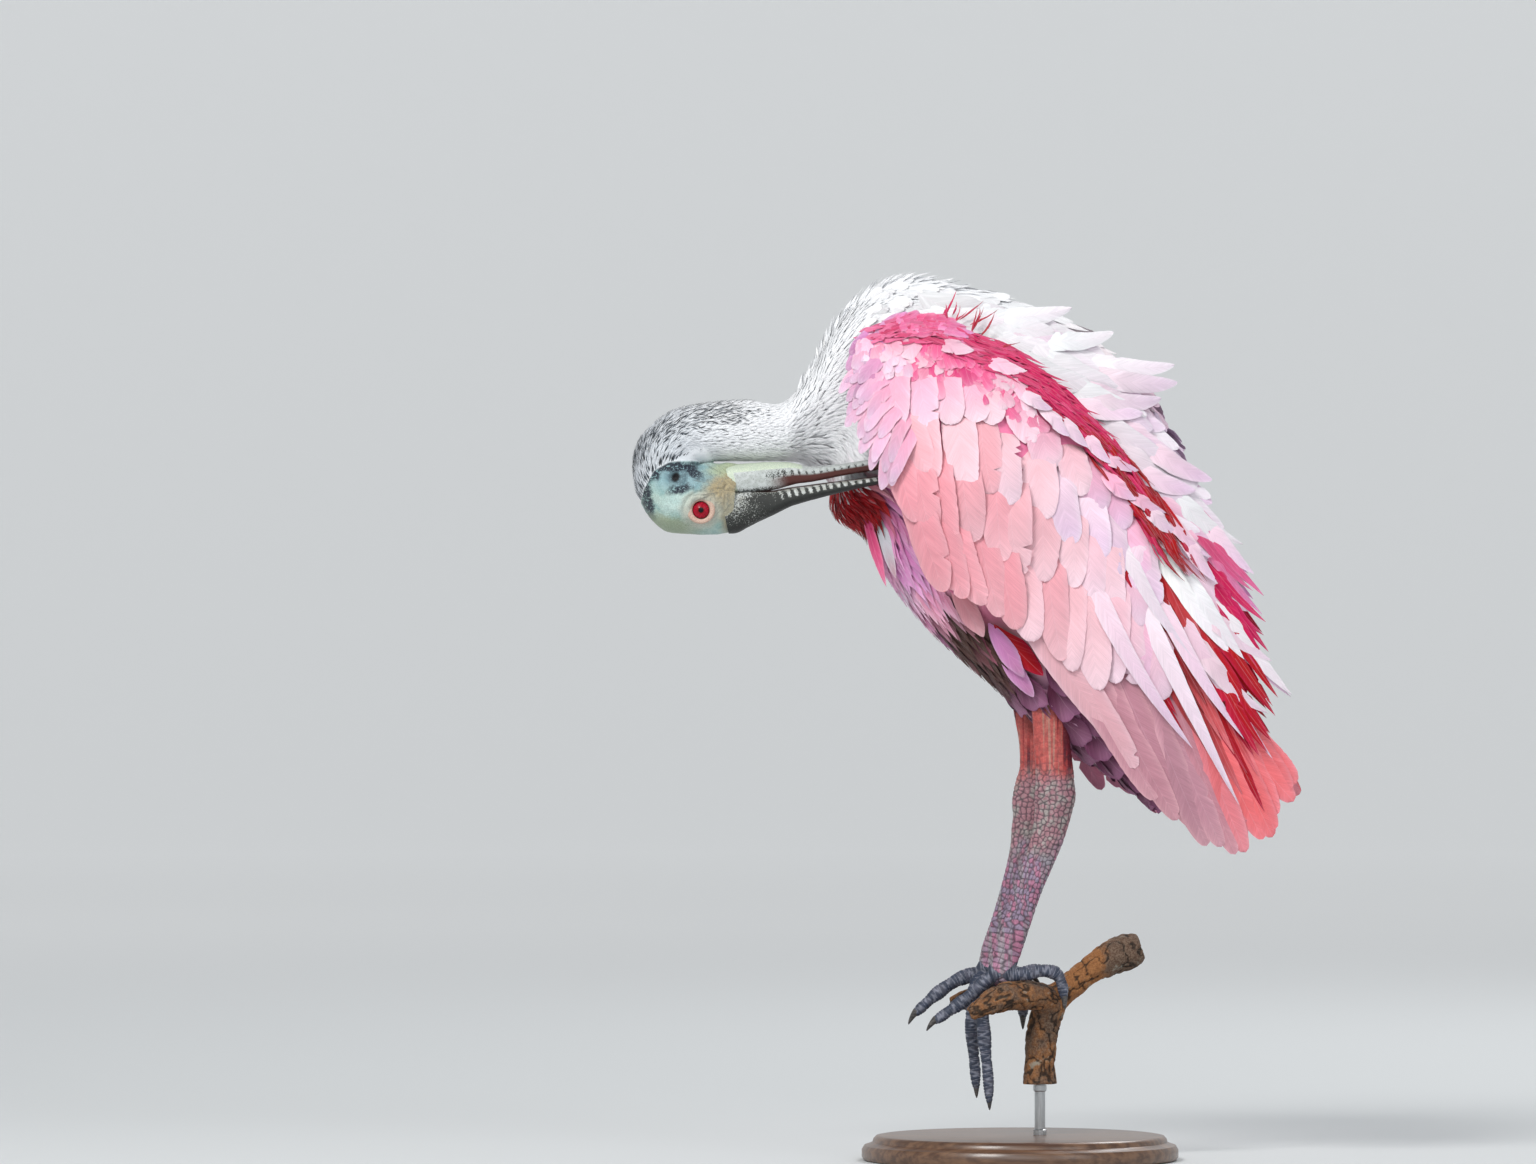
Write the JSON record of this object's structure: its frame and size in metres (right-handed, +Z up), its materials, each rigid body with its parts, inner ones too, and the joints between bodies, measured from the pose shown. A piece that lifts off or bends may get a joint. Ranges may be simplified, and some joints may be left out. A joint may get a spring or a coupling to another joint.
{
  "type": "roseate spoonbill model",
  "caption": "Life-size still model of a roseate spoonbill preening under its wing, gripping a cut branch on a plain rod and round base.",
  "frame": {"origin": "middle of the round base's underside, at the floor", "axes": "+Z up; -X the way the bird faces; -Y the bird's left side, which the picture shows"},
  "size_m": [0.3994, 0.19, 0.5253],
  "materials": {
    "body_feathers": "soft feather, white to pink and carmine",
    "neck_feathers": "short soft white feather, grey towards the head",
    "wing_feathers": "feather vanes, pink with a carmine band",
    "tail_feathers": "feather vanes, orange and red",
    "head_skin": "bare pale blue-green skin with black and buff patches",
    "bill_horn": "ridged grey horn",
    "eye": "wet red iris with a black pupil",
    "leg_skin": "scaly pink and grey skin",
    "foot_skin": "scaly dark blue-grey skin with horn claws",
    "bark": "rough knotted bark",
    "rod_metal": "satin",
    "base_wood": "satin varnish"
  },
  "bodies": {
    "root": {"torso": "body_feathers", "neck": "neck_feathers", "head": "head_skin", "bill_upper": "bill_horn", "bill_lower": "bill_horn", "eye_left": "eye", "eye_right": "eye", "wing_left": "wing_feathers", "wing_right": "wing_feathers", "tail": "tail_feathers", "shank_left": "leg_skin", "shank_right": "leg_skin", "tarsus_left": "leg_skin", "tarsus_right": "leg_skin", "foot_left": "foot_skin", "foot_right": "foot_skin", "perch": "bark", "stand_rod": "rod_metal", "stand_base": "base_wood"}
  },
  "joints": []
}
